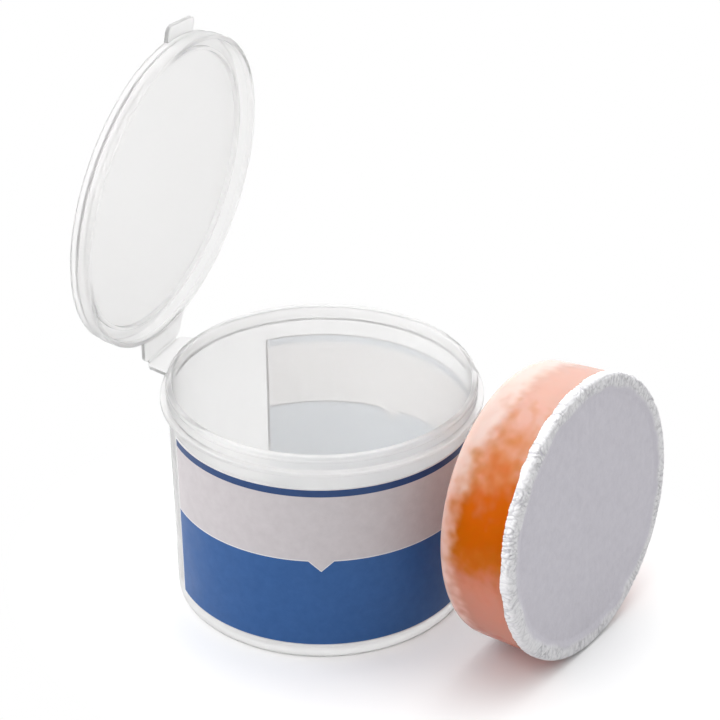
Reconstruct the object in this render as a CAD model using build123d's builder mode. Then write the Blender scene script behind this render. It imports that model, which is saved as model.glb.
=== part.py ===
from build123d import *

import os
from math import atan2, cos, degrees, pi, radians, sin, sqrt, tan

os.makedirs("parts", exist_ok=True)

# Hearing aid dryer: a flip-top jar with a wrap label, and a loose desiccant capsule standing beside it.
# Millimetres and degrees, +Z up. The origin is the centre of the jar's foot on the table.
# The hinge is on the -X side and its axis is parallel to Y. The capsule stands on its edge on the +X side.

# ---- Driving dimensions: jar ----
jar_height = 57.5
body_top_radius = 37.7  # outside of the body under the collar
body_draft = 0.55  # how much narrower the body is at its foot
neck_step = 0.3  # how far the neck stands out past the body
lip_wall = 1.4
neck_height = 3.6  # from the collar's top to the lip
jar_wall = 1.15
jar_floor = 1.5
well_corner = 2.0  # rounding where the inside wall meets the floor
base_corner = 0.9
foot_height = 0.6
foot_width = 2.4
collar_thickness = 1.1
snap_bead = 0.2  # how far the neck's bead stands out
snap_bead_drop = 1.0  # from the lip to the bead's upper edge
snap_bead_width = 0.8

# ---- Driving dimensions: lid ----
lid_open_angle = 82.0  # rest pose, measured from closed
lid_seat_gap = 0.1  # closed lid's rim above the collar
lip_clearance = 0.15  # closed lid's plate above the lip
skirt_clearance = 0.45  # between neck and skirt
skirt_wall = 1.15
skirt_step = 0.35  # how far the upper skirt is set in
skirt_step_height = 2.9  # from the rim to the step
skirt_bead = 0.12
lid_plate = 1.1
stacking_rim_height = 0.85
stacking_rim_width = 1.5
ring_clearance = 0.65  # between the mouth and the centring ring
ring_wall = 0.9
ring_depth = 1.3
tab_width = 12.0
tab_reach = 3.4
tab_thickness = 1.1
tab_corner = 1.4
tab_turn = 5.0  # the tab sits a little off the line through the hinge

# ---- Driving dimensions: film hinge ----
strap_reach = 5.4  # from the collar to the fold line
strap_width = 16.5  # at the fold line
strap_flare = 1.6  # extra half width at the roots
strap_thickness = 1.0
strap_corner = 1.5
film_thickness = 0.35
film_reach = 0.35  # flat land of the film on each side of the fold

# ---- Driving dimensions: label ----
label_thickness = 0.12
label_glue = 0.02
label_bottom = 3.8
label_height = 44.9
label_start = -132.5  # heading of one end, from +X towards +Y
label_span = 272.0

# ---- Driving dimensions: capsule ----
capsule_clearance = 0.5  # round the capsule when it lies in the jar
capsule_depth = 21.3  # from the membrane's face to the cup's base
cup_draft = 0.8  # how much narrower the cup is at its base
cup_wall = 1.0
cup_floor = 1.2
cup_corner = 3.5
cup_rim_corner = 1.0
sealing_land = 2.0  # flat ledge round the mouth that carries the membrane
sealing_land_thickness = 1.2
membrane_thickness = 0.35
membrane_fit = 0.05  # between membrane and cup
membrane_dish = 0.4  # how far the face is drawn in inside the rim
membrane_dish_width = 1.6
membrane_corner = 1.5
band_depth = 2.4  # how far the membrane is turned down over the side
band_flare = 0.15
bead_size = 3.0
bead_relief = 1.0  # how deep the hollows between the outer beads go
bead_web = 0.1  # left under the grooves of the base
bead_bed_gap = 0.15  # between the beads and the cup
capsule_standoff = 9.8  # from the jar's collar to the capsule's base
capsule_stand_y = 0.8
capsule_heading = -11.2  # way the membrane faces, from +X towards +Y

# ---- Worked out from the driving dimensions ----
body_base_radius = body_top_radius - body_draft
lip_radius = body_top_radius + neck_step  # outside of the neck
collar_top = jar_height - neck_height
collar_bottom = collar_top - collar_thickness
mouth_radius = lip_radius - lip_wall
well_radius = body_base_radius - jar_wall
skirt_inner_radius = lip_radius + skirt_clearance
skirt_radius = skirt_inner_radius + skirt_wall
skirt_upper_radius = skirt_radius - skirt_step
collar_radius = skirt_radius  # the closed skirt stands flush on the collar

hinge_to_axis = collar_radius + strap_reach
fold_gap = lid_seat_gap / 2
hinge_z = collar_top + fold_gap
hinge_point = Vector(-hinge_to_axis, 0, hinge_z)
strap_root_width = strap_width + 2 * strap_flare

# The lid's own frame: origin on the fold line, x towards the lid's centre, z out of its top.
lid_frame = Plane(
    origin=hinge_point,
    x_dir=(cos(radians(lid_open_angle)), 0, sin(radians(lid_open_angle))),
    z_dir=(-sin(radians(lid_open_angle)), 0, cos(radians(lid_open_angle))),
)
# The jar's half of the strap hangs under the fold line, so its frame points down.
strap_frame = Plane(origin=hinge_point, x_dir=(1, 0, 0), z_dir=(0, 0, -1))

# The capsule leans by its own taper: it lies on the band's edge and on the start of the base corner.
rim_radius = well_radius - capsule_clearance
cup_mouth_radius = rim_radius - band_flare - membrane_thickness - membrane_fit
cup_base_radius = cup_mouth_radius - cup_draft
cup_taper = (cup_mouth_radius - cup_base_radius) / capsule_depth
corner_start = capsule_depth - cup_corner
corner_start_radius = cup_mouth_radius - cup_taper * corner_start
capsule_lean = degrees(atan2(rim_radius - corner_start_radius, corner_start - band_depth))
capsule_axis_direction = Vector(
    cos(radians(capsule_heading)) * cos(radians(capsule_lean)),
    sin(radians(capsule_heading)) * cos(radians(capsule_lean)),
    sin(radians(capsule_lean)),
)
face_height = rim_radius * cos(radians(capsule_lean)) + band_depth * sin(radians(capsule_lean))
capsule_face = Vector(collar_radius + capsule_standoff + capsule_depth, capsule_stand_y, face_height)
capsule_axis = Axis(capsule_face, capsule_axis_direction)
capsule_sideways = Vector(-sin(radians(capsule_heading)), cos(radians(capsule_heading)), 0)
# Section plane of the capsule: x outward, y along the axis out of the face, origin at the face's centre.
capsule_section = Plane(
    origin=capsule_face,
    x_dir=capsule_sideways,
    z_dir=capsule_sideways.cross(capsule_axis_direction),
)


def points(profile):
    """Corner points of a profile given as (x, y, corner radius) triples."""
    return [(x, y) for x, y, _ in profile]


def corners(profile):
    """Corner radii of the same profile."""
    return [corner for _, _, corner in profile]


def body_radius(height):
    """Outside of the jar's drafted body at a height."""
    return body_base_radius + (body_top_radius - body_base_radius) * height / collar_bottom


def finish(name, label):
    """Label a finished piece and write it."""
    name.part.label = label
    export_step(name.part, f"parts/{label}.step")


def half_strap(frame):
    """One half of the hinge strap: a plate from the fold line to the rim, thinned to the film at its end."""
    strap_root = strap_reach + strap_reach / 3
    with BuildPart() as strap:
        with BuildSketch(frame.offset(fold_gap)):
            profile = [
                (film_reach, -strap_width / 2, strap_corner),
                (strap_root, -strap_root_width / 2, 0),
                (strap_root, strap_root_width / 2, 0),
                (film_reach, strap_width / 2, strap_corner),
            ]
            with BuildLine():
                FilletPolyline(*points(profile), radius=corners(profile), close=True)
            make_face()
        extrude(amount=strap_thickness)
        relief = strap_thickness - film_thickness
        side = Plane(origin=frame.origin, x_dir=frame.x_dir, z_dir=-frame.y_dir)
        with BuildSketch(side):
            with BuildLine():
                Polyline(
                    (film_reach, fold_gap + film_thickness),
                    (film_reach + relief, fold_gap + strap_thickness),
                    (film_reach, fold_gap + strap_thickness),
                    close=True,
                )
            make_face()
        extrude(amount=strap_width, both=True, mode=Mode.SUBTRACT)
    return strap.part


# ---- Jar: one turned shell with neck, collar and foot ring, and its half of the strap ----
jar_strap = half_strap(strap_frame)
bead_top = jar_height - snap_bead_drop
bead_bottom = bead_top - snap_bead_width

with BuildPart() as jar_body:
    with BuildSketch(Plane.XZ):
        profile = [
            (0, foot_height, 0),
            (body_base_radius - foot_width, foot_height, 0.3),
            (body_base_radius - foot_width, 0, 0.2),
            (body_radius(0), 0, base_corner),
            (body_radius(collar_bottom), collar_bottom, 0.25),
            (collar_radius, collar_bottom, 0.3),
            (collar_radius, collar_top, 0.3),
            (lip_radius, collar_top, 0.2),
            (lip_radius, bead_bottom, 0),
            (lip_radius + snap_bead, bead_bottom + snap_bead, 0.1),
            (lip_radius + snap_bead, bead_top - snap_bead, 0.1),
            (lip_radius, bead_top, 0),
            (lip_radius, jar_height, 0.4),
            (mouth_radius, jar_height, 0.4),
            (well_radius, jar_floor, well_corner),
            (0, jar_floor, 0),
        ]
        with BuildLine():
            FilletPolyline(*points(profile), radius=corners(profile), close=True)
        make_face()
    revolve(axis=Axis.Z)
    add(jar_strap)
finish(jar_body, "jar_body")

# ---- Living hinge: the film that wraps the fold line, drawn as it bends in the rest pose ----
film_inner = fold_gap
film_outer = fold_gap + film_thickness
lid_strap_side = 90 + lid_open_angle  # heading of the lid strap's outer side about the fold line


def around_fold(radius, heading, along=0.0):
    """Point at a heading from the fold line, moved along the lid's strap."""
    return (
        radius * cos(radians(heading)) + along * cos(radians(lid_open_angle)),
        radius * sin(radians(heading)) + along * sin(radians(lid_open_angle)),
    )


with BuildPart() as living_hinge:
    with BuildSketch(Plane(origin=hinge_point, x_dir=(1, 0, 0), z_dir=(0, -1, 0))):
        with BuildLine():
            Line((film_reach, -film_outer), (0, -film_outer))
            CenterArc((0, 0), film_outer, 270, lid_strap_side - 270)
            Line(around_fold(film_outer, lid_strap_side), around_fold(film_outer, lid_strap_side, film_reach))
            Line(
                around_fold(film_outer, lid_strap_side, film_reach),
                around_fold(film_inner, lid_strap_side, film_reach),
            )
            Line(around_fold(film_inner, lid_strap_side, film_reach), around_fold(film_inner, lid_strap_side))
            CenterArc((0, 0), film_inner, lid_strap_side, 270 - lid_strap_side)
            Line((0, -film_inner), (film_reach, -film_inner))
            Line((film_reach, -film_inner), (film_reach, -film_outer))
        make_face()
    extrude(amount=strap_width / 2 - strap_corner, both=True)
finish(living_hinge, "living_hinge")

# ---- Lid: turned plate, skirt and centring ring, with its half of the strap and the thumb tab ----
rim_level = fold_gap
under_level = jar_height + lip_clearance - hinge_z
plate_level = under_level + lid_plate
top_level = plate_level + stacking_rim_height
ring_radius = mouth_radius - ring_clearance
skirt_bead_top = bead_bottom - hinge_z - skirt_bead
lid_section = Plane(
    origin=lid_frame.from_local_coords((hinge_to_axis, 0, 0)),
    x_dir=lid_frame.x_dir,
    z_dir=-lid_frame.y_dir,
)
lid_axis = Axis(lid_section.origin, lid_frame.z_dir)
lid_strap = half_strap(lid_frame)
tab_root = skirt_upper_radius - stacking_rim_width / 2
tab_plane = Plane(
    origin=lid_frame.from_local_coords((hinge_to_axis, 0, top_level - tab_thickness)),
    x_dir=lid_frame.x_dir,
    z_dir=lid_frame.z_dir,
).rotated((0, 0, tab_turn))

with BuildPart() as lid:
    with BuildSketch(lid_section):
        profile = [
            (0, under_level, 0),
            (ring_radius - ring_wall, under_level, 0.2),
            (ring_radius - ring_wall, under_level - ring_depth, 0.2),
            (ring_radius, under_level - ring_depth, 0.5),
            (ring_radius, under_level, 0.2),
            (skirt_inner_radius, under_level, 0.4),
            (skirt_inner_radius, skirt_bead_top, 0),
            (skirt_inner_radius - skirt_bead, skirt_bead_top - skirt_bead, 0),
            (skirt_inner_radius - skirt_bead, skirt_bead_top - 3 * skirt_bead, 0),
            (skirt_inner_radius, skirt_bead_top - 4 * skirt_bead, 0),
            (skirt_inner_radius, rim_level, 0.25),
            (skirt_radius, rim_level, 0.3),
            (skirt_radius, rim_level + skirt_step_height, 0.15),
            (skirt_upper_radius, rim_level + skirt_step_height + skirt_step, 0.15),
            (skirt_upper_radius, top_level, 0.6),
            (skirt_upper_radius - stacking_rim_width, top_level, 0.3),
            (skirt_upper_radius - stacking_rim_width, plate_level, 0.3),
            (0, plate_level, 0),
        ]
        with BuildLine():
            FilletPolyline(*points(profile), radius=corners(profile), close=True)
        make_face()
    revolve(axis=lid_axis)
    add(lid_strap)
    # The strap's root is trimmed to the skirt's inside.
    with BuildSketch(lid_frame.offset(rim_level)):
        with Locations((hinge_to_axis, 0)):
            Circle(skirt_inner_radius)
    extrude(amount=strap_thickness, mode=Mode.SUBTRACT)
    # Thumb tab, flush with the lid's top edge.
    with BuildSketch(tab_plane):
        with BuildLine():
            FilletPolyline(
                (tab_root, -tab_width / 2),
                (skirt_upper_radius + tab_reach, -tab_width / 2),
                (skirt_upper_radius + tab_reach, tab_width / 2),
                (tab_root, tab_width / 2),
                radius=tab_corner,
            )
            Line((tab_root, tab_width / 2), (tab_root, -tab_width / 2))
        make_face()
    extrude(amount=tab_thickness)
finish(lid, "lid")

# ---- Label: paper wrap that follows the body's draft, open on the hinge side ----
label_top = label_bottom + label_height
label_section = Plane(
    origin=(0, 0, 0),
    x_dir=(cos(radians(label_start)), sin(radians(label_start)), 0),
    z_dir=(sin(radians(label_start)), -cos(radians(label_start)), 0),
)

with BuildPart() as label:
    with BuildSketch(label_section):
        with BuildLine():
            Polyline(
                (body_radius(label_bottom) + label_glue, label_bottom),
                (body_radius(label_bottom) + label_glue + label_thickness, label_bottom),
                (body_radius(label_top) + label_glue + label_thickness, label_top),
                (body_radius(label_top) + label_glue, label_top),
                close=True,
            )
        make_face()
    revolve(axis=Axis.Z, revolution_arc=label_span)
finish(label, "label")

# ---- Capsule cup: drafted cup with a round base corner and a sealing land at its mouth ----
cup_face = -(membrane_thickness + membrane_fit)
land_under = cup_face - sealing_land_thickness
land_radius = cup_mouth_radius - cup_wall - sealing_land
cup_inside_mouth = cup_mouth_radius - cup_wall
cup_inside_base = cup_base_radius - cup_wall
cup_inside_floor = -(capsule_depth - cup_floor)
cup_inside_corner = cup_corner - cup_wall

with BuildPart() as capsule_cup:
    with BuildSketch(capsule_section):
        profile = [
            (land_radius, cup_face, 0.3),
            (cup_mouth_radius, cup_face, cup_rim_corner),
            (cup_base_radius, -capsule_depth, cup_corner),
            (0, -capsule_depth, 0),
            (0, cup_inside_floor, 0),
            (cup_inside_base, cup_inside_floor, cup_inside_corner),
            (cup_inside_mouth, land_under, 0),
            (land_radius, land_under, 0.3),
        ]
        with BuildLine():
            FilletPolyline(*points(profile), radius=corners(profile), close=True)
        make_face()
    revolve(axis=capsule_axis)
finish(capsule_cup, "capsule_cup")

# ---- Desiccant: the packed bed that fills the cup, with a bump for each bead at its side and base ----
bed_top = -(membrane_thickness + membrane_dish + bead_bed_gap)
bed_shoulder = land_under - bead_bed_gap
bed_floor = cup_inside_floor + bead_bed_gap
bed_base = bed_floor + bead_relief
bead_rows = round((bed_shoulder - bed_base) / bead_size)
row_step = (bed_shoulder - bed_base) / (2 * bead_rows)
beads_round = int(2 * pi * cup_inside_base / bead_size)
base_bed_radius = cup_inside_base - cup_inside_corner - bead_relief
beads_across = 2 * int(base_bed_radius / bead_size) + 2
groove_depth = bead_relief - bead_web
capsule_cross_section = Plane(
    origin=capsule_face,
    x_dir=capsule_section.z_dir,
    z_dir=capsule_section.z_dir.cross(capsule_axis_direction),
)
# Levels along the capsule's axis, zero at the membrane's face.
capsule_level = Plane(origin=capsule_face, x_dir=capsule_sideways, z_dir=capsule_axis_direction)


def cup_inside_radius(level):
    """Inside radius of the cup at a level, with the round corner at its floor."""
    fall = (land_under - level) / (land_under - cup_inside_floor)
    rounding = max(0, cup_inside_floor + cup_inside_corner - level)
    drafted = cup_inside_mouth + (cup_inside_base - cup_inside_mouth) * fall
    return drafted - cup_inside_corner + sqrt(cup_inside_corner**2 - rounding**2)


def bead_outline(radius):
    """Outline of one level of the bed: a crest for each bead and a hollow between each two."""
    hollow_share = 1 - bead_relief / cup_inside_base
    outline = []
    for i in range(2 * beads_round):
        reach = radius * hollow_share if i % 2 else radius
        outline.append((reach * cos(pi * i / beads_round), reach * sin(pi * i / beads_round)))
    return outline


with BuildPart() as desiccant_beads:
    with BuildSketch(capsule_level.offset(bed_base)):
        Circle(base_bed_radius)
    extrude(amount=-bead_relief)
    for section in (capsule_section, capsule_cross_section):
        with BuildSketch(section):
            with Locations((0, bed_floor)):
                with GridLocations(bead_size, 0, beads_across, 1):
                    Polygon((-groove_depth, 0), (groove_depth, 0), (0, groove_depth), align=None)
        extrude(amount=base_bed_radius + bead_size, both=True, mode=Mode.SUBTRACT)
    for step in range(2 * bead_rows + 1):
        level = bed_shoulder - row_step * step
        row_relief = 0 if step % 2 else bead_relief
        with BuildSketch(capsule_level.offset(level)):
            with BuildLine():
                Polyline(*bead_outline(cup_inside_radius(level) - bead_bed_gap - row_relief), close=True)
            make_face()
    loft(ruled=True)
    with BuildSketch(capsule_level.offset(bed_shoulder)):
        Circle(land_radius - bead_bed_gap)
    extrude(amount=bed_top - bed_shoulder)
finish(desiccant_beads, "desiccant_beads")

# ---- Membrane: fabric stretched over the mouth and turned down round the rim ----
dish_radius = land_radius - membrane_dish_width
band_radius = rim_radius - band_flare

with BuildPart() as membrane:
    with BuildSketch(capsule_section):
        profile = [
            (0, -membrane_dish, 0),
            (dish_radius, -membrane_dish, 2.0),
            (land_radius, 0, 1.5),
            (band_radius, 0, membrane_corner),
            (rim_radius, -band_depth, 0),
            (rim_radius - membrane_thickness, -band_depth, 0),
            (band_radius - membrane_thickness, -membrane_thickness, membrane_corner - membrane_thickness),
            (land_radius, -membrane_thickness, 1.5),
            (dish_radius, -membrane_dish - membrane_thickness, 2.0),
            (0, -membrane_dish - membrane_thickness, 0),
        ]
        with BuildLine():
            FilletPolyline(*points(profile), radius=corners(profile), close=True)
        make_face()
    revolve(axis=capsule_axis)
finish(membrane, "membrane")
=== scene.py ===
from math import atan2, cos, degrees, pi, radians, sin, tan

import bmesh
import bpy
import numpy as np
from mathutils import Matrix, Vector
from mathutils.kdtree import KDTree


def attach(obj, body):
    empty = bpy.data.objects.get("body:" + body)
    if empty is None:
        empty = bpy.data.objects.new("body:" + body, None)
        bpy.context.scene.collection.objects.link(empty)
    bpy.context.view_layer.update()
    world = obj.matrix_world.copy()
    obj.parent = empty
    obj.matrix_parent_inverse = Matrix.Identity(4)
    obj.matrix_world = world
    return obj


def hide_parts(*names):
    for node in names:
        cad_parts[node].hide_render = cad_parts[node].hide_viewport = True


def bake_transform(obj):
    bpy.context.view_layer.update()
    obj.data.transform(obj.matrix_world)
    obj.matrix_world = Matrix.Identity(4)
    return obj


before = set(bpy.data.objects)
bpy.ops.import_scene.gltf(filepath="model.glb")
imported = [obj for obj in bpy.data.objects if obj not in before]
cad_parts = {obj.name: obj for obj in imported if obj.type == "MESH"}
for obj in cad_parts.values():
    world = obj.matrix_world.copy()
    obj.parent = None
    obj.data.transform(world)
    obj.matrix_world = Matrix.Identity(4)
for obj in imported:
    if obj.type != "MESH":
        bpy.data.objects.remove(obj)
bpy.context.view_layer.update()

MM = 0.001

# ---------------------------------------------------------------- sizes, in millimetres and degrees
jar_height = 57.5
body_top_radius = 37.7
body_base_radius = 37.15
lip_radius = 38.0
lip_wall = 1.4
neck_height = 3.6
jar_wall = 1.15
jar_floor = 1.5
foot_height = 0.6
foot_width = 2.4
collar_thickness = 1.1
collar_top = jar_height - neck_height
collar_bottom = collar_top - collar_thickness
mouth_radius = lip_radius - lip_wall
well_radius = body_base_radius - jar_wall
snap_bead = 0.2
bead_top = jar_height - 1.0
bead_bottom = bead_top - 0.8

skirt_inner_radius = lip_radius + 0.45
skirt_radius = skirt_inner_radius + 1.15
skirt_step = 0.35
skirt_upper_radius = skirt_radius - skirt_step
collar_radius = skirt_radius
lid_open_angle = 82.0
strap_reach = 5.4
strap_width = 16.5
strap_flare = 1.6
strap_thickness = 1.0
film_thickness = 0.35
film_reach = 0.35
fold_gap = 0.05
hinge_to_axis = collar_radius + strap_reach
hinge_z = collar_top + fold_gap

label_bottom = 3.8
label_top = 48.7
label_start = -132.5
label_span = 272.0
label_glue = 0.02
label_thickness = 0.12

capsule_depth = 21.3
rim_radius = well_radius - 0.5
band_flare = 0.15
membrane_thickness = 0.35
membrane_fit = 0.05
membrane_dish = 0.4
band_depth = 2.4
cup_mouth_radius = rim_radius - band_flare - membrane_thickness - membrane_fit
cup_base_radius = cup_mouth_radius - 0.8
cup_wall = 1.0
cup_floor = 1.2
cup_corner = 3.5
land_radius = cup_mouth_radius - cup_wall - 2.0
bead_size = 3.0

# ---------------------------------------------------------------- frames, in millimetres
opened = radians(lid_open_angle)
lid_frame = Matrix((
    (cos(opened), 0, -sin(opened), -hinge_to_axis),
    (0, 1, 0, 0),
    (sin(opened), 0, cos(opened), hinge_z),
    (0, 0, 0, 1),
))
lid_centre = lid_frame @ Matrix.Translation((hinge_to_axis, 0, 0))
jar_strap_frame = Matrix((
    (1, 0, 0, -hinge_to_axis),
    (0, -1, 0, 0),
    (0, 0, -1, hinge_z),
    (0, 0, 0, 1),
))

heading = radians(-11.2)
corner_start = capsule_depth - cup_corner
corner_start_radius = cup_mouth_radius - 0.8 / capsule_depth * corner_start
lean = atan2(rim_radius - corner_start_radius, corner_start - band_depth)
capsule_axis = Vector((cos(heading) * cos(lean), sin(heading) * cos(lean), sin(lean)))
capsule_side = Vector((-sin(heading), cos(heading), 0))
capsule_up = capsule_axis.cross(capsule_side)
capsule_face = Vector((
    collar_radius + 9.8 + capsule_depth,
    0.8,
    rim_radius * cos(lean) + band_depth * sin(lean),
))
capsule_frame = Matrix((
    (capsule_side.x, capsule_up.x, capsule_axis.x, capsule_face.x),
    (capsule_side.y, capsule_up.y, capsule_axis.y, capsule_face.y),
    (capsule_side.z, capsule_up.z, capsule_axis.z, capsule_face.z),
    (0, 0, 0, 1),
))


def body_radius(height):
    """Outside of the jar's drafted body at a height."""
    return body_base_radius + (body_top_radius - body_base_radius) * height / collar_bottom


# ---------------------------------------------------------------- mesh helpers
def rounded(profile, steps=6, closed=False):
    """Points and outward normals along a section of (x, y, corner radius), with every corner rounded."""
    count = len(profile)
    area = sum(
        profile[i - 1][0] * profile[i][1] - profile[i][0] * profile[i - 1][1] for i in range(count)
    )
    side = 1.0 if area > 0 else -1.0
    rows = []
    for i, (x, y, radius) in enumerate(profile):
        here = Vector((x, y))
        before = Vector(profile[i - 1][:2])
        after = Vector(profile[(i + 1) % count][:2])
        if not closed and i in (0, count - 1):
            along = (after - here if i == 0 else here - before).normalized()
            rows.append((x, y, side * along.y, -side * along.x))
            continue
        inward = here - before
        outward = after - here
        a, b = inward.normalized(), outward.normalized()
        turn = atan2(a.x * b.y - a.y * b.x, a.dot(b))
        if abs(turn) < 0.02:
            rows.append((x, y, side * a.y, -side * a.x))
            continue
        half = tan(abs(turn) / 2)
        reach = min(max(radius, 0.06) * half, 0.45 * inward.length, 0.45 * outward.length)
        radius = reach / half
        bend = 1.0 if turn > 0 else -1.0
        start = here - a * reach
        way = atan2(a.y, a.x)
        centre = start + bend * radius * Vector((-sin(way), cos(way)))
        for k in range(steps + 1):
            t = way + turn * k / steps
            p = centre + bend * radius * Vector((sin(t), -cos(t)))
            rows.append((p.x, p.y, side * sin(t), -side * cos(t)))
    return rows, side


def mesh_object(name, points, faces, normals=None):
    """Smooth object from points in millimetres."""
    mesh = bpy.data.meshes.new(name)
    mesh.from_pydata([tuple(p) for p in np.asarray(points) * MM], [], faces)
    mesh.polygons.foreach_set("use_smooth", [True] * len(mesh.polygons))
    mesh.update()
    if normals is not None:
        mesh.normals_split_custom_set_from_vertices([tuple(n) for n in normals])
    piece = bpy.data.objects.new(name, mesh)
    bpy.context.scene.collection.objects.link(piece)
    return piece


def piece_from(shape, name, place):
    """Smooth object from a bmesh in millimetres, which it frees."""
    shape.transform(Matrix.Scale(MM, 4) @ place)
    mesh = bpy.data.meshes.new(name)
    shape.to_mesh(mesh)
    shape.free()
    mesh.polygons.foreach_set("use_smooth", [True] * len(mesh.polygons))
    piece = bpy.data.objects.new(name, mesh)
    bpy.context.scene.collection.objects.link(piece)
    return piece


def paint(piece, name, values):
    """Stores one value for each point, for a material to read."""
    layer = piece.data.attributes.new(name, "FLOAT", "POINT")
    layer.data.foreach_set("value", np.asarray(values, dtype=np.float32))


def placed(points, place):
    """Points moved by a matrix."""
    m = np.array(place)
    return np.asarray(points) @ m[:3, :3].T + m[:3, 3]


def turned(name, profile, place=Matrix.Identity(4), turns=216, steps=6, closed=False):
    """Solid of revolution about the local z axis, with exact normals."""
    rows, side = rounded(profile, steps, closed)
    angles = np.arange(turns) * 2 * pi / turns
    points, normals, rings = [], [], []
    for x, y, nx, ny in rows:
        if x < 1e-6:
            rings.append([len(points)])
            points.append((0, 0, y))
            normals.append((0, 0, ny))
        else:
            rings.append(list(range(len(points), len(points) + turns)))
            points.extend((x * cos(t), x * sin(t), y) for t in angles)
            normals.extend((nx * cos(t), nx * sin(t), ny) for t in angles)
    faces = []
    pairs = list(zip(rings, rings[1:])) + ([(rings[-1], rings[0])] if closed else [])
    for lower, upper in pairs:
        for j in range(turns):
            k = (j + 1) % turns
            if len(lower) == 1 and len(upper) == 1:
                continue
            if len(lower) == 1:
                face = (lower[0], upper[k], upper[j])
            elif len(upper) == 1:
                face = (lower[j], lower[k], upper[0])
            else:
                face = (lower[j], lower[k], upper[k], upper[j])
            faces.append(face if side > 0 else face[::-1])
    spin_only = np.array(place)[:3, :3]
    return mesh_object(name, placed(points, place), faces, np.asarray(normals) @ spin_only.T)


def plate(name, outline, low, high, place, bevel=0.18):
    """Flat plate with softened edges. low and high are functions of the outline's point."""
    shape = bmesh.new()
    under = [shape.verts.new((x, y, low(x, y))) for x, y in outline]
    over = [shape.verts.new((x, y, high(x, y))) for x, y in outline]
    shape.faces.new(under[::-1])
    shape.faces.new(over)
    count = len(outline)
    for i in range(count):
        k = (i + 1) % count
        shape.faces.new((under[i], under[k], over[k], over[i]))
    level_limit = 0.7 * (high(0, 0) - low(0, 0))
    rims = [e for e in shape.edges if abs(e.verts[0].co.z - e.verts[1].co.z) < level_limit]
    bmesh.ops.bevel(shape, geom=rims, offset=bevel, segments=3, affect="EDGES", profile=0.5)
    bmesh.ops.recalc_face_normals(shape, faces=shape.faces)
    piece = piece_from(shape, name, place)
    weights = piece.modifiers.new("even_normals", "WEIGHTED_NORMAL")
    weights.keep_sharp = False
    return piece


def corner_arc(corner, before, after, radius, steps=6):
    """Points of a rounded corner in the plane."""
    rows, _ = rounded([(*before, 0), (*corner, radius), (*after, 0)], steps)
    return [(x, y) for x, y, _, _ in rows[1:-1]]


# ---------------------------------------------------------------- material helpers
def material(name, **sockets):
    """Principled material and its node tree."""
    made = bpy.data.materials.new(name)
    made.use_nodes = True
    shader = made.node_tree.nodes["Principled BSDF"]
    for key, value in sockets.items():
        shader.inputs[key.replace("_", " ")].default_value = value
    return made, made.node_tree, shader


def add(tree, kind, **values):
    """Node with its inputs and settings set by name."""
    node = tree.nodes.new(kind)
    for key, value in values.items():
        if hasattr(node, key):
            setattr(node, key, value)
        else:
            node.inputs[key.replace("_", " ")].default_value = value
    return node


def grain(tree, scale, detail=3.0, rough=0.55, stretch=(1, 1, 1)):
    """Noise in the object's own coordinates. Scale is in features per metre."""
    coords = add(tree, "ShaderNodeTexCoord")
    spread = add(tree, "ShaderNodeMapping")
    spread.inputs["Scale"].default_value = stretch
    texture = add(tree, "ShaderNodeTexNoise")
    texture.inputs["Scale"].default_value = scale
    texture.inputs["Detail"].default_value = detail
    texture.inputs["Roughness"].default_value = rough
    tree.links.new(coords.outputs["Object"], spread.inputs["Vector"])
    tree.links.new(spread.outputs["Vector"], texture.inputs["Vector"])
    return texture


def feed(tree, slot, value):
    """Links a socket to an input, or sets the input to a plain value."""
    if isinstance(value, bpy.types.NodeSocket):
        tree.links.new(value, slot)
    else:
        slot.default_value = value


def maths(tree, operation, *values, clamp=False):
    """Output of a math node on sockets and numbers."""
    node = add(tree, "ShaderNodeMath", operation=operation, use_clamp=clamp)
    for slot, value in zip(node.inputs, values):
        feed(tree, slot, value)
    return node.outputs[0]


def mixed(tree, factor, first, second):
    """Output of a colour mix. Plain colours have three parts."""
    node = add(tree, "ShaderNodeMix", data_type="RGBA")
    for index, value in ((0, factor), (6, first), (7, second)):
        feed(tree, node.inputs[index], (*value, 1) if isinstance(value, tuple) else value)
    return node.outputs[2]


def remapped(tree, source, source_range, target_range=(0.0, 1.0), kind="LINEAR"):
    """Output of a clamped map from one range onto another."""
    node = add(tree, "ShaderNodeMapRange", interpolation_type=kind)
    names = ("From Min", "From Max", "To Min", "To Max")
    for name, value in zip(names, (*source_range, *target_range)):
        node.inputs[name].default_value = value
    tree.links.new(source, node.inputs["Value"])
    return node.outputs["Result"]


def painted(tree, name):
    """Output that reads a value stored by paint."""
    node = add(tree, "ShaderNodeAttribute")
    node.attribute_name = name
    return node.outputs["Fac"]


def seen_rays(tree):
    """Light path node, and 1 for rays from the eye, off gloss or through plastic, 0 for other light."""
    rays = add(tree, "ShaderNodeLightPath")
    seen = maths(tree, "MAXIMUM", rays.outputs["Is Camera Ray"], rays.outputs["Is Transmission Ray"])
    return rays, maths(tree, "MAXIMUM", seen, rays.outputs["Is Glossy Ray"])


def coloured(tree, source, stops):
    """Output of a colour ramp with (position, colour) stops."""
    node = add(tree, "ShaderNodeValToRGB")
    bar = node.color_ramp
    while len(bar.elements) < len(stops):
        bar.elements.new(0.5)
    for element, (place, colour) in zip(bar.elements, stops):
        element.position = place
        element.color = (*colour, 1)
    tree.links.new(source, node.inputs["Fac"])
    return node.outputs["Color"]


def ramp(tree, source, stops, target):
    """Colour ramp from a source socket to a target socket."""
    tree.links.new(coloured(tree, source, stops), target)


def spread_value(tree, source, low, high, target):
    """Maps the middle of a noise onto a range."""
    tree.links.new(remapped(tree, source, (0.3, 0.7), (low, high)), target)


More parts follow.
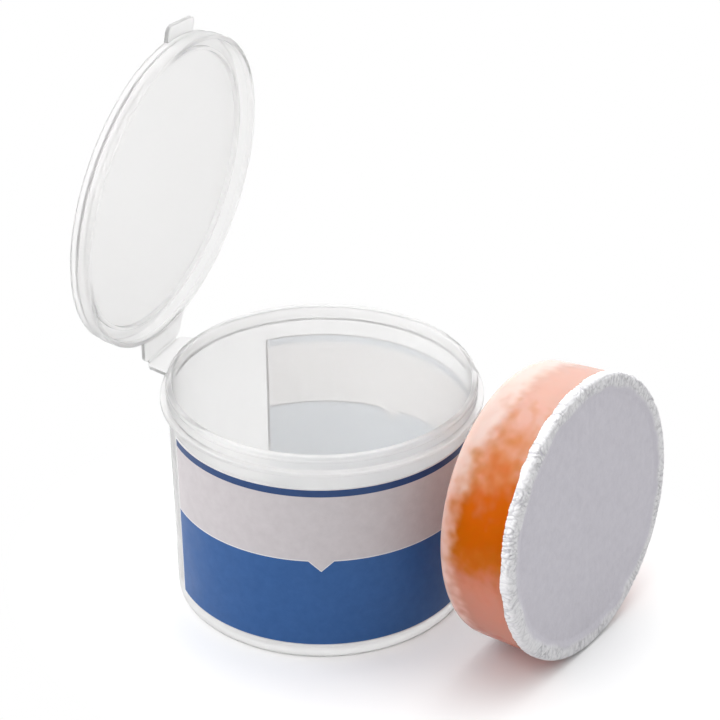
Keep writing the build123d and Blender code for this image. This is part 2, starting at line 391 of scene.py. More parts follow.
def relief(tree, shader, layers):
    """Bumps from (source socket, height in millimetres) pairs, one over the other."""
    last = None
    for source, height in layers:
        bump = add(tree, "ShaderNodeBump")
        bump.inputs["Strength"].default_value = 1.0
        bump.inputs["Distance"].default_value = height * MM
        tree.links.new(source, bump.inputs["Height"])
        if last is not None:
            tree.links.new(last.outputs["Normal"], bump.inputs["Normal"])
        last = bump
    tree.links.new(last.outputs["Normal"], shader.inputs["Normal"])


# ---------------------------------------------------------------- materials
def frosted_plastic():
    """Milky polypropylene: most light goes through softly, a little is scattered back."""
    made, tree, shader = material(
        "frosted_pp", Transmission_Weight=0.8, IOR=1.13, Roughness=0.33,
        Coat_Weight=0.3, Coat_Roughness=0.12, Coat_IOR=1.45,
        Subsurface_Weight=1.0, Subsurface_Scale=0.003,
    )
    shader.inputs["Subsurface Radius"].default_value = (1.0, 1.0, 1.0)
    cloud = grain(tree, 45, 3, 0.6)
    milk = [(0.3, (0.975, 0.971, 0.967)), (0.7, (0.988, 0.984, 0.98))]
    ramp(tree, cloud.outputs["Fac"], milk, shader.inputs["Base Color"])
    scuff = grain(tree, 260, 4, 0.6, (1, 1, 0.25))
    spread_value(tree, scuff.outputs["Fac"], 0.285, 0.33, shader.inputs["Roughness"])
    flow = grain(tree, 60, 2, 0.5)
    fine = grain(tree, 1500, 3, 0.6)
    relief(tree, shader, [(flow.outputs["Fac"], 0.02), (fine.outputs["Fac"], 0.004)])
    return made


def printed(name, low, high, rough, **inputs):
    """Printed paper of one ink, with a slight mottle and the paper's tooth."""
    made, tree, shader = material(name, Roughness=rough, IOR=1.46, Specular_IOR_Level=0.3, **inputs)
    shader.inputs["Subsurface Radius"].default_value = (1.0, 1.0, 1.0)
    mottle = grain(tree, 420, 4, 0.65)
    ramp(tree, mottle.outputs["Fac"], [(0.3, low), (0.7, high)], shader.inputs["Base Color"])
    patch = grain(tree, 130, 3, 0.6)
    spread_value(tree, patch.outputs["Fac"], rough - 0.05, rough + 0.07, shader.inputs["Roughness"])
    tooth = grain(tree, 3800, 3, 0.7, (1, 1, 0.5))
    wave = grain(tree, 60, 2, 0.5)
    relief(tree, shader, [(wave.outputs["Fac"], 0.06), (tooth.outputs["Fac"], 0.012)])
    return made


def tinted_plastic():
    """Peach polypropylene of the cup: it glows orange where the fill presses on it and is hazy elsewhere;
    near the table it is coloured deep red, painted shade and reflected orange light.
    """
    made, tree, shader = material(
        "peach_pp", IOR=1.12, Roughness=0.23, Subsurface_Weight=1.0, Subsurface_Scale=0.0015,
    )
    shader.inputs["Subsurface Radius"].default_value = (1.0, 0.6, 0.5)
    place = add(tree, "ShaderNodeTexCoord").outputs["Object"]
    split = add(tree, "ShaderNodeSeparateXYZ")
    tree.links.new(place, split.inputs["Vector"])
    # cells of about a bead's size shift the tint a little, over a slower drift
    cell = add(tree, "ShaderNodeSeparateXYZ")
    tree.links.new(grain(tree, 330, 1, 0.3).outputs["Color"], cell.inputs["Vector"])
    drift = grain(tree, 70, 3, 0.55).outputs["Fac"]
    wander = maths(tree, "MULTIPLY_ADD", cell.outputs["X"], 0.45, drift)
    height = maths(tree, "MULTIPLY_ADD", wander, 0.022, split.outputs["Z"])
    # 0 at the table, 1 at the top of the cup; the deep red of the lowest stops is painted shade and
    # reflected orange light near the table
    level = remapped(tree, height, (0.016, 0.088))
    glow = coloured(tree, level, [
        (0.0, (0.80, 0.14, 0.05)), (0.12, (0.78, 0.18, 0.08)), (0.2, (0.80, 0.35, 0.26)),
        (0.36, (0.82, 0.37, 0.27)), (0.46, (0.80, 0.33, 0.20)), (0.54, (0.78, 0.27, 0.02)),
        (0.60, (0.78, 0.235, 0.001)), (0.70, (0.82, 0.24, 0.002)), (0.80, (0.82, 0.38, 0.17)),
        (0.90, (0.88, 0.55, 0.46)), (1.0, (0.80, 0.50, 0.42)),
    ])
    # the round corner at the base has no beads right behind it and stays pale, widest near the top
    along = add(tree, "ShaderNodeVectorMath", operation="DOT_PRODUCT")
    along.inputs[1].default_value = capsule_axis
    tree.links.new(place, along.inputs[0])
    widen = remapped(tree, level, (0.72, 0.92), (0.0, -0.0038))
    reach = maths(tree, "ADD", along.outputs["Value"], widen)
    edge = maths(tree, "MULTIPLY_ADD", cell.outputs["Y"], 0.006, reach)
    face_along = capsule_axis.dot(capsule_face) * MM
    margin = remapped(tree, edge, (face_along - 0.0170, face_along - 0.0112), (1.0, 0.0), "SMOOTHSTEP")
    pale = coloured(tree, level, [
        (0.14, (0.86, 0.54, 0.47)), (0.36, (0.84, 0.56, 0.50)), (0.48, (0.72, 0.47, 0.41)),
        (0.66, (0.65, 0.40, 0.34)), (0.82, (0.68, 0.49, 0.43)), (0.94, (0.71, 0.57, 0.52)),
    ])
    tree.links.new(mixed(tree, margin, glow, pale), shader.inputs["Base Color"])
    shares = ((0.0, 0.35), (0.42, 0.4), (0.56, 0.6), (0.72, 0.6), (0.88, 0.4), (1.0, 0.3))
    clear = coloured(tree, level, [(stop, (share,) * 3) for stop, share in shares])
    hazy = maths(tree, "MULTIPLY_ADD", margin, -1.0, 1.0)
    tree.links.new(maths(tree, "MULTIPLY", clear, hazy), shader.inputs["Transmission Weight"])
    scuff = grain(tree, 300, 4, 0.6)
    spread_value(tree, scuff.outputs["Fac"], 0.19, 0.26, shader.inputs["Roughness"])
    flow = grain(tree, 110, 2, 0.5)
    fine = grain(tree, 1600, 3, 0.6)
    relief(tree, shader, [(flow.outputs["Fac"], 0.02), (fine.outputs["Fac"], 0.004)])
    return made


def gel(name, deep, middle, pale):
    """Silica gel: glossy and a little translucent, each bead tinted by its own attribute."""
    made, tree, shader = material(
        name, Roughness=0.35, IOR=1.4, Subsurface_Weight=0.5, Subsurface_Scale=0.002,
        Specular_IOR_Level=0.15,
    )
    shader.inputs["Subsurface Radius"].default_value = (1.0, 0.45, 0.15)
    speck = grain(tree, 700, 3, 0.6)
    shift = maths(tree, "MULTIPLY_ADD", speck.outputs["Fac"], 0.3, -0.15)
    total = maths(tree, "ADD", shift, painted(tree, "tint"))
    ramp(tree, total, [(0.0, deep), (0.22, middle), (1.0, pale)], shader.inputs["Base Color"])
    fine = grain(tree, 900, 3, 0.6)
    relief(tree, shader, [(fine.outputs["Fac"], 0.03)])
    return made


def fabric():
    """Fine nonwoven film: matt white with short pressed fibres. Its colour is painted: greyer on the flat
    face (painted shade), near white on the gathered band (painted light), darker in the crease valleys
    (painted shade).
    """
    made, tree, shader = material("nonwoven", Roughness=0.75, IOR=1.4, Sheen_Weight=0.2, Sheen_Roughness=0.4)
    patch = grain(tree, 420, 5, 0.7)
    # the flat face is coloured greyer than the white cloth: painted shade
    tone = coloured(tree, patch.outputs["Fac"], [(0.3, (0.665, 0.645, 0.705)), (0.7, (0.725, 0.705, 0.765))])
    # the gathered band is coloured near white: painted light on the same cloth
    band_painted_light = mixed(tree, painted(tree, "gather"), tone, (0.93, 0.925, 0.94))
    # crease valleys are coloured dark grey: painted shade
    deep = mixed(tree, painted(tree, "fold"), band_painted_light, (0.40, 0.39, 0.42))
    tree.links.new(deep, shader.inputs["Base Color"])
    fleck = grain(tree, 900, 4, 0.65)
    spread_value(tree, fleck.outputs["Fac"], 0.62, 0.85, shader.inputs["Roughness"])
    fibres = grain(tree, 1400, 5, 0.7, (1, 1.6, 0.7))
    weave = grain(tree, 420, 3, 0.6)
    relief(tree, shader, [(weave.outputs["Fac"], 0.16), (fibres.outputs["Fac"], 0.10)])
    return made


pp = frosted_plastic()
peach = tinted_plastic()
white_paper = printed("paper_white", (0.78, 0.77, 0.77), (0.86, 0.85, 0.85), 0.5)
grey_ink = printed("ink_warm_grey", (0.60, 0.56, 0.575), (0.65, 0.61, 0.625), 0.45)
stripe_ink = printed("ink_stripe_blue", (0.022, 0.060, 0.18), (0.028, 0.072, 0.21), 0.38)
blue_ink = printed("ink_blue", (0.026, 0.102, 0.30), (0.034, 0.118, 0.34), 0.42)
# the paper lets light through to its back, less where the ink is heavy
grey_back = printed(
    "paper_back", (0.90, 0.84, 0.82), (0.93, 0.87, 0.85), 0.6,
    Subsurface_Weight=0.95, Subsurface_Scale=0.0015,
)
blue_back = printed(
    "paper_back_blue", (0.60, 0.68, 0.78), (0.64, 0.72, 0.82), 0.6,
    Subsurface_Weight=0.8, Subsurface_Scale=0.0015,
)
beads_ink = gel("orange_gel", (0.78, 0.20, 0.0005), (0.90, 0.32, 0.012), (0.97, 0.62, 0.40))
cloth = fabric()


def dress(piece, body, slot, *materials):
    """Gives a piece its finish and the body it moves with."""
    for m in materials:
        piece.data.materials.append(m)
    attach(piece, body)
    return piece


# ---------------------------------------------------------------- jar
jar = turned("jar_shell", [
    (0, foot_height, 0),
    (body_base_radius - foot_width, foot_height, 0.3),
    (body_base_radius - foot_width, 0, 0.2),
    (body_radius(0), 0, 0.9),
    (body_radius(collar_bottom), collar_bottom, 0.25),
    (collar_radius, collar_bottom, 0.3),
    (collar_radius, collar_top, 0.3),
    (lip_radius, collar_top, 0.2),
    (lip_radius, bead_bottom, 0.1),
    (lip_radius + snap_bead, bead_bottom + snap_bead, 0.1),
    (lip_radius + snap_bead, bead_top - snap_bead, 0.1),
    (lip_radius, bead_top, 0.1),
    (lip_radius, jar_height, 0.4),
    (mouth_radius, jar_height, 0.4),
    (well_radius, jar_floor, 2.0),
    (0, jar_floor, 0),
])
dress(jar, "jar", "frosted_plastic", pp)
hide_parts("jar_body")


def strap_outline(root_radius):
    """Plan of half a strap in its own frame, from the film to a round root."""
    half = strap_width / 2
    root_half = half + strap_flare
    side = corner_arc((film_reach, -half), (film_reach, 0), (strap_reach, -root_half), 1.5)
    points = list(side)
    for k in range(13):
        y = -root_half + 2 * root_half * k / 12
        points.append((hinge_to_axis - (root_radius ** 2 - y ** 2) ** 0.5, y))
    points += [(x, -y) for x, y in side[::-1]]
    return points


def strap_piece(name, place, root_radius):
    """Half strap as a lofted plate: rows along the reach, with a relief ramp at the film."""
    outline = strap_outline(root_radius)
    relief_end = film_reach + strap_thickness - film_thickness
    shape = bmesh.new()
    under = [shape.verts.new((x, y, fold_gap)) for x, y in outline]
    over = [shape.verts.new((x, y, fold_gap + strap_thickness)) for x, y in outline]
    shape.faces.new(under[::-1])
    shape.faces.new(over)
    count = len(outline)
    for i in range(count):
        k = (i + 1) % count
        shape.faces.new((under[i], under[k], over[k], over[i]))
    bmesh.ops.bisect_plane(
        shape, geom=shape.verts[:] + shape.edges[:] + shape.faces[:],
        plane_co=(relief_end, 0, fold_gap + strap_thickness), plane_no=(1, 0, -1),
        clear_inner=False, clear_outer=False,
    )
    low = [v for v in shape.verts if v.co.z - (fold_gap + film_thickness + (v.co.x - film_reach)) > 1e-5]
    for v in low:
        v.co.z = fold_gap + film_thickness + max(0.0, v.co.x - film_reach)
    bmesh.ops.remove_doubles(shape, verts=shape.verts, dist=1e-4)
    bmesh.ops.dissolve_degenerate(shape, dist=1e-4, edges=shape.edges)
    bmesh.ops.recalc_face_normals(shape, faces=shape.faces)
    sharp = [e for e in shape.edges if len(e.link_faces) == 2 and e.calc_face_angle(0) > radians(35)]
    bmesh.ops.bevel(shape, geom=sharp, offset=0.1, segments=2, affect="EDGES", profile=0.5)
    piece = piece_from(shape, name, place)
    piece.modifiers.new("even_normals", "WEIGHTED_NORMAL")
    return piece


jar_strap = strap_piece("hinge_strap_jar", jar_strap_frame, collar_radius - 0.12)
dress(jar_strap, "jar", "frosted_plastic", pp)

# ---------------------------------------------------------------- lid
under_level = jar_height + 0.15 - hinge_z
plate_level = under_level + 1.1
top_level = plate_level + 0.85
ring_radius = mouth_radius - 0.65
skirt_bead = 0.12
skirt_bead_top = bead_bottom - hinge_z - skirt_bead
lid = turned("lid_shell", [
    (0, under_level, 0),
    (ring_radius - 0.9, under_level, 0.2),
    (ring_radius - 0.9, under_level - 1.3, 0.2),
    (ring_radius, under_level - 1.3, 0.5),
    (ring_radius, under_level, 0.2),
    (skirt_inner_radius, under_level, 0.4),
    (skirt_inner_radius, skirt_bead_top, 0.05),
    (skirt_inner_radius - skirt_bead, skirt_bead_top - skirt_bead, 0.05),
    (skirt_inner_radius - skirt_bead, skirt_bead_top - 3 * skirt_bead, 0.05),
    (skirt_inner_radius, skirt_bead_top - 4 * skirt_bead, 0.05),
    (skirt_inner_radius, fold_gap, 0.25),
    (skirt_radius, fold_gap, 0.3),
    (skirt_radius, fold_gap + 2.9, 0.15),
    (skirt_upper_radius, fold_gap + 2.9 + skirt_step, 0.15),
    (skirt_upper_radius, top_level, 0.6),
    (skirt_upper_radius - 1.5, top_level, 0.3),
    (skirt_upper_radius - 1.5, plate_level, 0.3),
    (0, plate_level, 0),
], lid_centre)
dress(lid, "lid", "frosted_plastic", pp)
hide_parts("lid")

lid_strap = strap_piece("hinge_strap_lid", lid_frame, skirt_radius - 0.12)
dress(lid_strap, "lid", "frosted_plastic", pp)

tab_half = 6.0
tab_end = skirt_upper_radius + 3.4
tab_root = skirt_upper_radius - 0.12
tab_plan = [(tab_root * cos(t), tab_root * sin(t)) for t in np.linspace(0.153, -0.153, 9)]
tab_plan += corner_arc((tab_end, -tab_half), (skirt_upper_radius, -tab_half), (tab_end, 0), 1.4)
tab_plan += corner_arc((tab_end, tab_half), (tab_end, 0), (skirt_upper_radius, tab_half), 1.4)
tab = plate(
    "lid_tab", tab_plan, lambda x, y: top_level - 1.1, lambda x, y: top_level,
    lid_centre @ Matrix.Rotation(radians(5.0), 4, "Z"), 0.22,
)
dress(tab, "lid", "frosted_plastic", pp)

# ---------------------------------------------------------------- film hinge
film_inner = fold_gap
film_lap = 0.04
film_outer = fold_gap + film_thickness
lid_side = radians(90 + lid_open_angle)
lid_way = Vector((cos(opened), sin(opened)))


def film_path(radius):
    """Section line of the film at one distance from the fold, from the jar's strap to the lid's."""
    points = [Vector((film_reach + film_lap, -radius)), Vector((film_reach / 2, -radius))]
    for k in range(13):
        t = radians(270) + (lid_side - radians(270)) * k / 12
        points.append(Vector((radius * cos(t), radius * sin(t))))
    end = Vector((radius * cos(lid_side), radius * sin(lid_side)))
    points += [end + lid_way * film_reach / 2, end + lid_way * (film_reach + film_lap)]
    return points


film_width = strap_width - 3.0
across = np.linspace(-film_width / 2, film_width / 2, 25)
outer, inner = film_path(film_outer), film_path(film_inner)
film_points, film_faces = [], []
count = len(outer)
for y in across:
    film_points += [(p.x - hinge_to_axis, y, p.y + hinge_z) for p in outer]
    film_points += [(p.x - hinge_to_axis, y, p.y + hinge_z) for p in inner[::-1]]
loop = 2 * count
for i in range(len(across) - 1):
    for j in range(loop):
        k = (j + 1) % loop
        film_faces.append((i * loop + j, i * loop + k, (i + 1) * loop + k, (i + 1) * loop + j))
film_faces.append(tuple(range(loop))[::-1])
film_faces.append(tuple(range((len(across) - 1) * loop, len(across) * loop)))
film = mesh_object("hinge_film", film_points, film_faces)
film.data.materials.append(pp)
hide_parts("living_hinge")
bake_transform(film)

# ---------------------------------------------------------------- label
border = 0.35
field_top = 28.4
stripe_low = 46.45
notches = ((295.8 - 360, 4.7, 2.95), (87.2, 4.7, 3.2))


def field_edge(angle):
    """Height of the blue field's upper edge, with a small V notch at front and back."""
    for middle, half, depth in notches:
        away = abs(angle - middle)
        if away < half:
            return field_top - depth * (1 - away / half)
    return field_top


columns = set(np.round(np.linspace(label_start, label_start + label_span, 241), 4))
for middle, half, _ in notches:
    columns |= {round(middle - half, 4), round(middle, 4), round(middle + half, 4)}
end_border = degrees(0.55 / body_top_radius)
columns |= {round(label_start + end_border, 4), round(label_start + label_span - end_border, 4)}
columns = sorted(columns)
label_points, label_faces, inks = [], [], []
levels = 7
for angle in columns:
    heights = [
        label_bottom, label_bottom + border, field_edge(angle), field_edge(angle) + 0.25,
        stripe_low, label_top - border, label_top,
    ]
    for depth in (label_glue + label_thickness, label_glue):
        for z in heights:
            r = body_radius(z) + depth
            label_points.append((r * cos(radians(angle)), r * sin(radians(angle)), z))
strip_inks = [0, 3, 0, 1, 2, 0]
back_inks = [0, 4, 5, 5]
for i in range(len(columns) - 1):
    at_start = columns[i + 1] <= label_start + end_border + 1e-3
    at_end = columns[i] >= label_start + label_span - end_border - 1e-3
    a, b = i * 2 * levels, (i + 1) * 2 * levels
    for j in range(levels - 1):
        ink = 0 if at_start or at_end else strip_inks[j]
        label_faces.append((a + j, b + j, b + j + 1, a + j + 1))
        inks.append(ink)
        label_faces.append((a + levels + j, a + levels + j + 1, b + levels + j + 1, b + levels + j))
        inks.append(back_inks[ink])
    label_faces.append((a, a + levels, b + levels, b))
    label_faces.append((a + levels - 1, b + levels - 1, b + 2 * levels - 1, a + 2 * levels - 1))
    inks += [0, 0]
for i in (0, len(columns) - 1):
    a = i * 2 * levels
    for j in range(levels - 1):
        face = (a + j, a + j + 1, a + levels + j + 1, a + levels + j)
        label_faces.append(face if i == 0 else face[::-1])
        inks.append(0)
wrap = mesh_object("wrap_label", label_points, label_faces)
wrap.data.polygons.foreach_set("material_index", inks)
for edge in wrap.data.edges:
    p, q = (wrap.data.vertices[v].co / MM for v in edge.vertices)
    crossing = abs(p.z - q.z) < 1e-3 and abs(Vector(p.xy).length - Vector(q.xy).length) > 0.06
    at_rim = all(min(abs(v.z - label_bottom), abs(v.z - label_top)) < 1e-3 for v in (p, q))
    edge.use_edge_sharp = bool(crossing or at_rim)
dress(wrap, "jar", "printed_paper", white_paper, grey_ink, stripe_ink, blue_ink, grey_back, blue_back)
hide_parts("label")

# ---------------------------------------------------------------- capsule cup
cup_face = -(membrane_thickness + membrane_fit)
land_under = cup_face - 1.2
inside_mouth = cup_mouth_radius - cup_wall
inside_base = cup_base_radius - cup_wall
inside_floor = -(capsule_depth - cup_floor)
cup = turned("capsule_cup_shell", [
    (land_radius, cup_face, 0.3),
    (cup_mouth_radius, cup_face, 1.0),
    (cup_base_radius, -capsule_depth, cup_corner),
    (0, -capsule_depth, 0),
    (0, inside_floor, 0),
    (inside_base, inside_floor, cup_corner - cup_wall),
    (inside_mouth, land_under, 0.1),
    (land_radius, land_under, 0.3),
], capsule_frame, steps=8, closed=True)
dress(cup, "capsule", "tinted_plastic", peach)
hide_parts("capsule_cup")

# ---------------------------------------------------------------- silica gel
rng = np.random.default_rng(11)
bead_tries = 5200
bead_count = 1900
bead_layers = 6.0
settling_rounds = 46


def wall_at(z):
    """Inside radius of the cup at a depth, rounded at the base corner."""
    r = inside_mouth + (inside_base - inside_mouth) * (z - land_under) / (inside_floor - land_under)
    corner = cup_corner - cup_wall
    below = np.clip((inside_floor + corner) - z, 0, corner)
    return r - corner + np.sqrt(np.maximum(corner ** 2 - below ** 2, 0))


def settled_beads():
    """Bead centres packed against the wall, floor and each other, two or three layers deep."""
    ceiling = -(membrane_thickness + membrane_dish) - 0.2
    z = rng.uniform(inside_floor + 1.6, ceiling - 1.6, bead_tries)
    angle = rng.uniform(0, 2 * pi, bead_tries)
    r = wall_at(z) * np.sqrt(rng.uniform(0, 1, bead_tries))
    points = np.stack([r * np.cos(angle), r * np.sin(angle), z], 1)
    near_wall = wall_at(points[:, 2]) - np.hypot(points[:, 0], points[:, 1]) < bead_layers
    near_floor = points[:, 2] - inside_floor < bead_layers
    points = points[near_wall | near_floor][:bead_count]
    radii = rng.normal(bead_size / 2, 0.11, len(points)).clip(1.2, 1.8)
    for _ in range(settling_rounds):
        tree = KDTree(len(points))
        for i, p in enumerate(points):
            tree.insert(p, i)
        tree.balance()
        push = np.zeros_like(points)
        for i, p in enumerate(points):
            for q, j, distance in tree.find_range(p, radii[i] + 1.8):
                if j == i or distance < 1e-6:
                    continue
                short = radii[i] + radii[j] - distance
                if short > 0:
                    push[i] += (p - np.array(q)) / distance * short * 0.42
        points += push
        # held outwards against the wall and floor, as the fill behind them does
        points[:, :2] *= 1.0015
        points[:, 2] -= 0.01
        points[:, 2] = np.clip(points[:, 2], inside_floor + radii + 0.03, ceiling - radii)
        room = wall_at(points[:, 2]) - radii - 0.05
        out = np.hypot(points[:, 0], points[:, 1])
        scale = np.minimum(1.0, room / np.maximum(out, 1e-6))
        points[:, :2] *= scale[:, None]
        # under the sealing land
        out = np.hypot(points[:, 0], points[:, 1])
        tucked = out > land_radius - radii
        points[tucked, 2] = np.minimum(points[tucked, 2], land_under - radii[tucked] - 0.03)
    return points, radii


bead_centres, bead_radii = settled_beads()
ball = bmesh.new()
bmesh.ops.create_icosphere(ball, subdivisions=2, radius=1.0)
ball_points = np.array([v.co for v in ball.verts])
ball_faces = np.array([[v.index for v in f.verts] for f in ball.faces])
ball.free()
n_ball = len(ball_points)
all_points = (bead_centres[:, None, :] + ball_points[None] * bead_radii[:, None, None]).reshape(-1, 3)
all_faces = (ball_faces[None] + (np.arange(len(bead_centres)) * n_ball)[:, None, None]).reshape(-1, 3)
all_normals = np.tile(ball_points, (len(bead_centres), 1)) @ np.array(capsule_frame)[:3, :3].T
beads = mesh_object("gel_beads", placed(all_points, capsule_frame), all_faces.tolist(), all_normals)
bead_height = placed(bead_centres, capsule_frame)[:, 2]


def tint_at(height):
    """0 is deep orange, 1 is pale: the beads are palest near the top and paler again at the bottom."""
    high = np.clip((height - 50) / 13, 0, 1)
    low = np.clip((38 - height) / 13, 0, 1)
    return 0.9 * high + 0.75 * low


bead_tint = np.clip(tint_at(bead_height) + rng.normal(0.02, 0.09, len(bead_height)), 0, 1)
paint(beads, "tint", np.repeat(bead_tint, n_ball))
dress(beads, "capsule", "silica_gel", beads_ink)

bed = turned("gel_bed", [
    (0, -(membrane_thickness + membrane_dish) - 0.5, 0),
    (land_radius - 2.6, -(membrane_thickness + membrane_dish) - 0.5, 0.5),
    (land_radius - 2.6, land_under - 0.6, 0.3),
    (inside_mouth - 1.5, land_under - 1.4, 0.8),
    (inside_base - 1.5, inside_floor + 1.5, 2.5),
    (0, inside_floor + 1.5, 0),
], capsule_frame, turns=144)
bed_height = np.array([v.co.z for v in bed.data.vertices]) / MM
paint(bed, "tint", np.clip(tint_at(bed_height), 0, 1))
dress(bed, "capsule", "silica_gel", beads_ink)
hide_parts("desiccant_beads")
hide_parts("desiccant_beads")

# ---------------------------------------------------------------- membrane
turns = 1440
band_radius = rim_radius - band_flare
dish_radius = land_radius - 1.6
outer_rows, _ = rounded([
    (0, -membrane_dish, 0),
    (dish_radius, -membrane_dish, 2.0),
    (land_radius, 0, 1.5),
    (band_radius, 0, 2.0),
    (rim_radius, -band_depth, 0),
    (rim_radius - membrane_thickness, -band_depth, 0),
    (0, -band_depth, 0),
], 12)


def resampled(rows, gaps):
    """Rows spaced evenly along the section, no further apart than each gap allows."""
    out = []
    for (x0, y0, a0, b0), (x1, y1, a1, b1) in zip(rows, rows[1:]):
        length = ((x1 - x0) ** 2 + (y1 - y0) ** 2) ** 0.5
        parts = max(1, int(np.ceil(length / gaps((x0 + x1) / 2))))
        for k in range(parts):
            f = k / parts
            out.append((x0 + (x1 - x0) * f, y0 + (y1 - y0) * f, a0 + (a1 - a0) * f, b0 + (b1 - b0) * f))
    return out


def waves(points, length, seed, count=18):
    """Smooth random field of about one unit's height, with features of a given length in millimetres."""
    source = np.random.default_rng(seed)
    ways = source.normal(size=(count, 3))
    ways /= np.linalg.norm(ways, axis=1)[:, None]
    ways *= (2 * pi / length * source.uniform(0.6, 1.4, count))[:, None]
    return np.cos(points @ ways.T + source.uniform(0, 2 * pi, count)).sum(1) * (2 / count) ** 0.5


def eased(value, low, high):
    """Smooth step from 0 to 1."""
    t = np.clip((value - low) / (high - low), 0, 1)
    return t * t * (3 - 2 * t)


last_row = next(
    i for i, row in enumerate(outer_rows) if row[1] < -band_depth + 0.08 and row[0] > rim_radius - 0.1
)
skin = [(x, y, nx, abs(ny) if y > -1 else ny) for x, y, nx, ny in outer_rows[: last_row + 1]]
skin[-1] = (rim_radius, -band_depth, 1.0, 0.06)
skin = resampled(skin, lambda x: 3.0 if x < 24 else 0.8 if x < 29 else 0.19) + [skin[-1]]
angles = np.arange(turns) * 2 * pi / turns
circle = np.stack([np.cos(angles), np.sin(angles), np.zeros(turns)], 1)
cloth_points, cloth_rings, cloth_fold_shade, cloth_gathers = [], [], [], []
travelled, previous = 0.0, skin[0]
for x, y, nx, ny in skin:
    travelled += ((x - previous[0]) ** 2 + (y - previous[1]) ** 2) ** 0.5
    previous = (x, y)
    if x < 1e-6:
        cloth_rings.append([len(cloth_points)])
        cloth_points.append((0, 0, y))
        cloth_fold_shade.append(0.0)
        cloth_gathers.append(0.0)
        continue
    cloth_rings.append(list(range(len(cloth_points), len(cloth_points) + turns)))
    # unrolled place of each point: round the rim, and along the section
    at = circle * band_radius + np.array((0, 0, travelled))
    # 0 on the face, 1 where the cloth is gathered over the rim and down the band
    reach = waves(at * (1, 1, 0), 9.0, 5) * 0.35
    gathered = eased(x + reach, 31.2, 32.8) if y > -0.9 else np.ones(turns)
    net = at * (1, 1, 0.55)
    wide = np.exp(-(waves(net, 2.1, 1, 40) / 0.42) ** 2)
    small = np.exp(-(waves(net, 1.15, 2, 40) / 0.42) ** 2)
    valley = (0.75 * wide + 0.55 * small).clip(0, 1)
    size = 0.75 + 0.3 * np.tanh(waves(at, 11.0, 3))
    # the cloth is drawn tighter round the lower half
    tight = 0.55 + 0.45 * eased(circle[:, 1], 0.0, 0.35)
    fine = 0.5 + 0.5 * np.tanh(waves(at, 0.8, 4))
    dent = gathered * size * tight * (0.42 * valley + 0.06 * fine)
    flat = np.stack([x * circle[:, 0], x * circle[:, 1], np.zeros(turns)], 1)
    soft = waves(flat, 6.0, 6) * 0.03 + waves(flat, 2.2, 7) * 0.014
    swell = waves(flat, 12.0, 8) * 0.08 * min(1.0, max(0.0, (x - 27) / 4))
    lift = (soft + swell - 0.12) * (1 - gathered) - dent
    # the turned edge wanders a little
    drop = 0.13 * waves(at * (1, 1, 0), 4.0, 9) * gathered * min(1.0, max(0.0, (-y - 1.0) / 1.2))
    radius = x + nx * lift
    ring = np.stack([radius * circle[:, 0], radius * circle[:, 1], y + ny * lift + drop], 1)
    cloth_points.extend(ring.tolist())
    # fold values darken the crease valleys in the cloth's colour: painted shade
    cloth_fold_shade.extend((gathered * size * valley * 0.62).clip(0, 1).tolist())
    # gather values make the band's colour paler than the face: painted light
    cloth_gathers.extend(gathered.tolist())
inner_skin, _ = rounded([
    (0, -membrane_dish - membrane_thickness, 0),
    (dish_radius, -membrane_dish - membrane_thickness, 2.0),
    (land_radius, -membrane_thickness, 1.5),
    (band_radius - membrane_thickness, -membrane_thickness, 1.15),
    (rim_radius - membrane_thickness, -band_depth + 0.05, 0),
    (0, -band_depth, 0),
], 5)
inner_cut = max(i for i, row in enumerate(inner_skin) if row[0] > rim_radius - membrane_thickness - 0.12)
for x, y, nx, ny in inner_skin[: inner_cut + 1][::-1]:
    if x < 1e-6:
        cloth_rings.append([len(cloth_points)])
        cloth_points.append((0, 0, y))
    else:
        cloth_rings.append(list(range(len(cloth_points), len(cloth_points) + turns)))
        cloth_points.extend((x * cos(t), x * sin(t), y) for t in angles)
cloth_fold_shade += [0.0] * (len(cloth_points) - len(cloth_fold_shade))
cloth_gathers += [0.0] * (len(cloth_points) - len(cloth_gathers))
cloth_faces = []
for lower, upper in zip(cloth_rings, cloth_rings[1:]):
    for j in range(turns):
        k = (j + 1) % turns
        if len(lower) == 1:
            cloth_faces.append((lower[0], upper[j], upper[k]))
        elif len(upper) == 1:
            cloth_faces.append((lower[k], lower[j], upper[0]))
        else:
            cloth_faces.append((lower[k], lower[j], upper[j], upper[k]))
membrane = mesh_object("membrane_cloth", placed(cloth_points, capsule_frame), cloth_faces)
paint(membrane, "fold", cloth_fold_shade)
paint(membrane, "gather", cloth_gathers)
dress(membrane, "capsule", "breathable_fabric", cloth)
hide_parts("membrane")

# ---------------------------------------------------------------- floor, light and camera
floor_size = 4.0
floor_mesh = bpy.data.meshes.new("studio_floor")
floor_corners = [(x * floor_size, y * floor_size, 0) for x, y in ((-1, -1), (1, -1), (1, 1), (-1, 1))]
floor_mesh.from_pydata(floor_corners, [], [(0, 1, 2, 3)])
floor = bpy.data.objects.new("studio_floor", floor_mesh)
floor.location.z = -0.02 * MM
bpy.context.scene.collection.objects.link(floor)
ground, ground_tree, ground_shader = material("studio_white", Roughness=0.9)
ground_shader.inputs["Specular IOR Level"].default_value = 0.0
rays, seen = seen_rays(ground_tree)
# away from the object the floor fades from lit paper to plain white, for what the eye, gloss and glass see
where = add(ground_tree, "ShaderNodeTexCoord")
around = add(ground_tree, "ShaderNodeVectorMath", operation="MULTIPLY_ADD")
around.inputs[1].default_value = (1.0, 1.25, 0.0)
around.inputs[2].default_value = (-0.02, 0.0, 0.0)
ground_tree.links.new(where.outputs["Object"], around.inputs[0])
offset = add(ground_tree, "ShaderNodeVectorMath", operation="LENGTH")
ground_tree.links.new(around.outputs["Vector"], offset.inputs[0])
fade = remapped(ground_tree, offset.outputs["Value"], (0.056, 0.105), kind="SMOOTHSTEP")
shade = grain(ground_tree, 6, 2, 0.5)
lit = coloured(ground_tree, shade.outputs["Fac"], [(0.3, (0.92,) * 3), (0.7, (0.94,) * 3)])
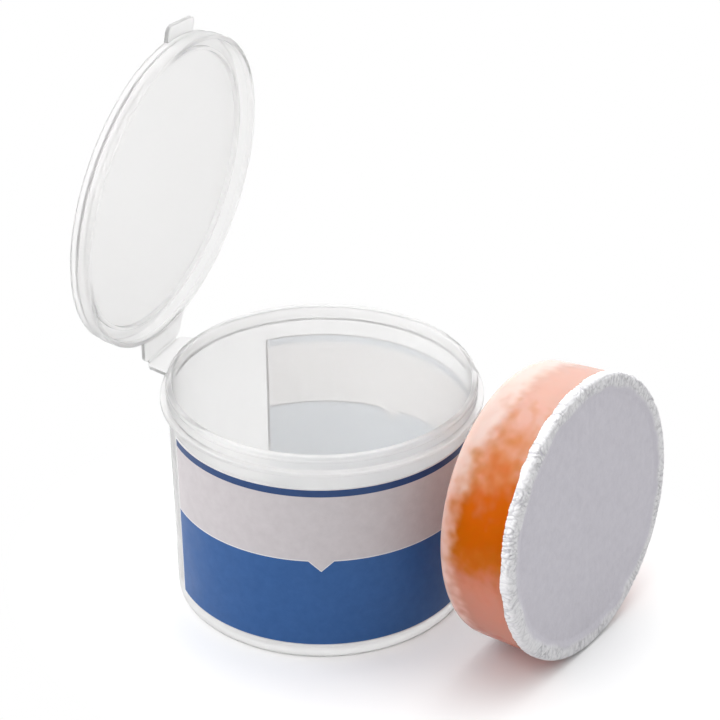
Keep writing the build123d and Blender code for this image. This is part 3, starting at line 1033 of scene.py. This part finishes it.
# seen through the plastic the floor glows white everywhere, also in the jar's shadow: painted light in place
# of the light the jar lets through to the floor under it
white = maths(ground_tree, "MULTIPLY_ADD", rays.outputs["Is Transmission Ray"], 0.85, fade, clamp=True)
unlit = mixed(ground_tree, white, lit, (0, 0, 0))
bounce = mixed(ground_tree, seen, (0.62,) * 3, unlit)
ground_tree.links.new(bounce, ground_shader.inputs["Base Color"])
ground_shader.inputs["Emission Color"].default_value = (1, 1, 1, 1)
glow = maths(ground_tree, "MULTIPLY", seen, white)
ground_tree.links.new(glow, ground_shader.inputs["Emission Strength"])
floor.data.materials.append(ground)

world = bpy.data.worlds.new("studio")
bpy.context.scene.world = world
world.use_nodes = True
sky = world.node_tree
backdrop = sky.nodes["Background"]
sky_coords = add(sky, "ShaderNodeTexCoord")
sky_up = add(sky, "ShaderNodeVectorMath", operation="DOT_PRODUCT")
sky_up.inputs[1].default_value = (-0.2, 0.5, 0.843)
sky.links.new(sky_coords.outputs["Generated"], sky_up.inputs[0])
sky_light = coloured(sky, sky_up.outputs["Value"], [
    (0.0, (0.1, 0.1, 0.105)), (0.3, (0.45, 0.45, 0.455)), (0.65, (1.05,) * 3), (1.0, (2.6,) * 3),
])
sky.links.new(mixed(sky, seen_rays(sky)[1], sky_light, (1, 1, 1)), backdrop.inputs["Color"])
backdrop.inputs["Strength"].default_value = 1.0


def soft_light(name, place, target, size, power):
    """Square softbox aimed at a point, all in metres and watts."""
    lamp = bpy.data.lights.new(name, "AREA")
    lamp.shape = "RECTANGLE"
    lamp.size, lamp.size_y = size
    lamp.energy = power
    holder = bpy.data.objects.new(name, lamp)
    holder.location = place
    aim = Vector(target) - Vector(place)
    holder.rotation_mode = "QUATERNION"
    holder.rotation_quaternion = aim.to_track_quat("-Z", "Y")
    bpy.context.scene.collection.objects.link(holder)


soft_light("front_left", (-0.35, -1.15, 0.95), (0.02, 0, 0.04), (1.2, 1.2), 11.0)
soft_light("side_left", (-0.85, -0.2, 0.75), (-0.04, 0, 0.09), (0.5, 0.5), 2.0)

camera_data = bpy.data.cameras.new("camera")
camera_data.sensor_width = 36.0
camera_data.lens = 107.24
camera_data.clip_start = 0.05
camera_data.clip_end = 20.0
camera = bpy.data.objects.new("camera", camera_data)
camera.location = (0.20479, -0.40682, 0.31561)
camera.rotation_mode = "QUATERNION"
camera.rotation_quaternion = Vector((-0.37674, 0.78806, -0.48686)).to_track_quat("-Z", "Y")
bpy.context.scene.collection.objects.link(camera)
bpy.context.scene.camera = camera
bpy.context.scene.view_settings.view_transform = "Standard"
